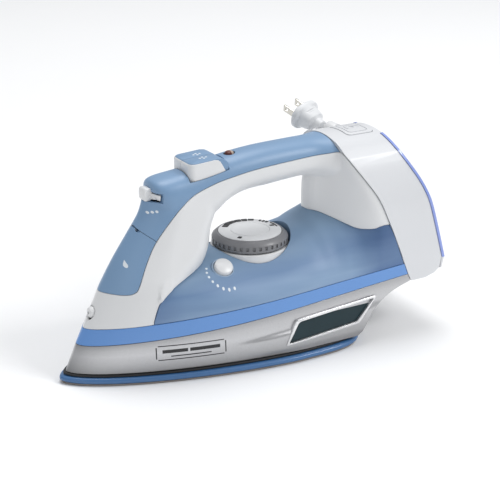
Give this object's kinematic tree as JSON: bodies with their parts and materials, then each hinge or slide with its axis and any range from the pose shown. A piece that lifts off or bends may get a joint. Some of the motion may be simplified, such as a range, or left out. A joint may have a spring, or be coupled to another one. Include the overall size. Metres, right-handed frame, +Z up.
{
  "type": "clothes iron",
  "caption": "Clothes iron with a water tank, temperature dial, steam and spray controls, and a lead that winds onto a reel in the heel.",
  "frame": {"origin": "on the ironing plane, half way between nose and heel, in the symmetry plane", "axes": "+X from nose to heel, +Z up from the ironing face, +Y to the far side"},
  "size_m": [0.31, 0.1312, 0.1674],
  "materials": {
    "blue_plastic": "fine matt moulding",
    "bright_blue_plastic": "smooth moulding",
    "white_plastic": "smooth moulding",
    "pearl_plastic": "pearl lacquer",
    "tinted_tank": "clear tinted moulding",
    "sole_coating": "hard sole coating",
    "blue_casting": "painted casting",
    "satin_metal": "satin metal paint",
    "black_plastic": "heat-resistant moulding",
    "window_plastic": "dark clear moulding",
    "grey_plastic": "matt moulding",
    "lavender_plastic": "smooth moulding",
    "steel": "plain",
    "brass": "plain",
    "seal_rubber": "moulded",
    "lens": "clear moulding",
    "cord_jacket": "smooth jacket",
    "board": "laminate"
  },
  "bodies": {
    "iron": {"soleplate": "sole_coating", "sole_casting": "blue_casting", "heating_element": "steel", "steam_chamber_cover": "steel", "insulating_ring": "black_plastic", "skirt": "satin_metal", "window_panel_near": "window_plastic", "window_panel_far": "window_plastic", "base_tray": "bright_blue_plastic", "tank_floor": "tinted_tank", "tank_seal": "seal_rubber", "water_tank": "tinted_tank", "handle_body": "white_plastic", "grip_cover": "blue_plastic", "door_pin": "steel", "fill_port": "white_plastic", "spray_nozzle": "white_plastic", "spray_tube": "seal_rubber", "spray_pump": "white_plastic", "spray_spring": "steel", "burst_pump": "white_plastic", "burst_spring": "steel", "valve_seat": "brass", "dial_base": "white_plastic", "thermostat": "steel", "thermal_fuse": "white_plastic", "self_clean_spring": "steel", "indicator_lens": "lens", "control_board": "board", "wire_harness": "seal_rubber", "terminal_block": "white_plastic", "rear_housing": "pearl_plastic", "trim_ring": "lavender_plastic", "heel_cover": "pearl_plastic", "heel_screw_1": "steel", "heel_screw_2": "steel", "retract_spring": "steel", "reel_axle": "steel", "reel_spring": "steel", "brush_plate": "brass", "cord_lead": "cord_jacket", "cord_guide": "white_plastic", "plug_body": "cord_jacket", "plug_blade_1": "brass", "plug_blade_2": "brass"},
    "dial": {"dial_ring": "grey_plastic", "dial_face": "white_plastic", "thermostat_shaft": "steel"},
    "door": {"fill_door": "blue_plastic"},
    "lever": {"steam_lever": "white_plastic"},
    "valve": {"valve_rod": "steel"},
    "spray": {"spray_button": "blue_plastic", "spray_piston": "white_plastic"},
    "burst": {"burst_button": "blue_plastic", "burst_piston": "white_plastic"},
    "self_clean": {"self_clean_button": "white_plastic"},
    "retract": {"retract_button": "pearl_plastic"},
    "pawl": {"brake_pawl": "white_plastic"},
    "cord_reel": {"reel_drum": "white_plastic", "cord_winding": "cord_jacket"}
  },
  "joints": [
    {"name": "temperature_dial", "type": "hinge", "parent": "iron", "child": "dial", "pos_m": [0.004, 0, 0.085], "axis": [0, 0, 1], "range_deg": [0, 270]},
    {"name": "fill_door_hinge", "type": "hinge", "parent": "iron", "child": "door", "pos_m": [-0.0922, 0, 0.10775], "axis": [0, 1, 0], "range_deg": [0, 50]},
    {"name": "steam_lever_turn", "type": "hinge", "parent": "iron", "child": "lever", "pos_m": [-0.07, 0, 0.131], "axis": [0, 0, 1], "range_deg": [-8, 8]},
    {"name": "valve_slide", "type": "slide", "parent": "iron", "child": "valve", "axis": [0, 0, 1], "range_m": [-0.0015, 0.0015]},
    {"name": "spray_press", "type": "slide", "parent": "iron", "child": "spray", "axis": [0, 0, -1], "range_m": [0, 0.005], "stiffness_N_per_m": 400, "springref_m": -0.002, "deforming": ["spray_spring"]},
    {"name": "burst_press", "type": "slide", "parent": "iron", "child": "burst", "axis": [0, 0, -1], "range_m": [0, 0.005], "stiffness_N_per_m": 400, "springref_m": -0.002, "deforming": ["burst_spring"]},
    {"name": "self_clean_press", "type": "slide", "parent": "iron", "child": "self_clean", "axis": [0, 0.5592, -0.829], "range_m": [0, 0.004], "stiffness_N_per_m": 300, "springref_m": -0.002, "deforming": ["self_clean_spring"]},
    {"name": "retract_press", "type": "slide", "parent": "iron", "child": "retract", "axis": [0, 0, -1], "range_m": [0, 0.003], "stiffness_N_per_m": 500, "springref_m": -0.002, "deforming": ["retract_spring"]},
    {"name": "pawl_turn", "type": "hinge", "parent": "iron", "child": "pawl", "pos_m": [0.095, -0.019, 0.1365], "axis": [0, 1, 0], "range_deg": [0, 6]},
    {"name": "reel_turn", "type": "hinge", "parent": "iron", "child": "cord_reel", "pos_m": [0.1236, 0, 0.086], "axis": [0.9455, 0, 0.3256], "continuous": true}
  ],
  "couplings": [
    {"joint": "valve_slide", "follows": "steam_lever_turn", "m_per_rad": 0.01},
    {"joint": "pawl_turn", "follows": "retract_press", "rad_per_m": 30}
  ]
}
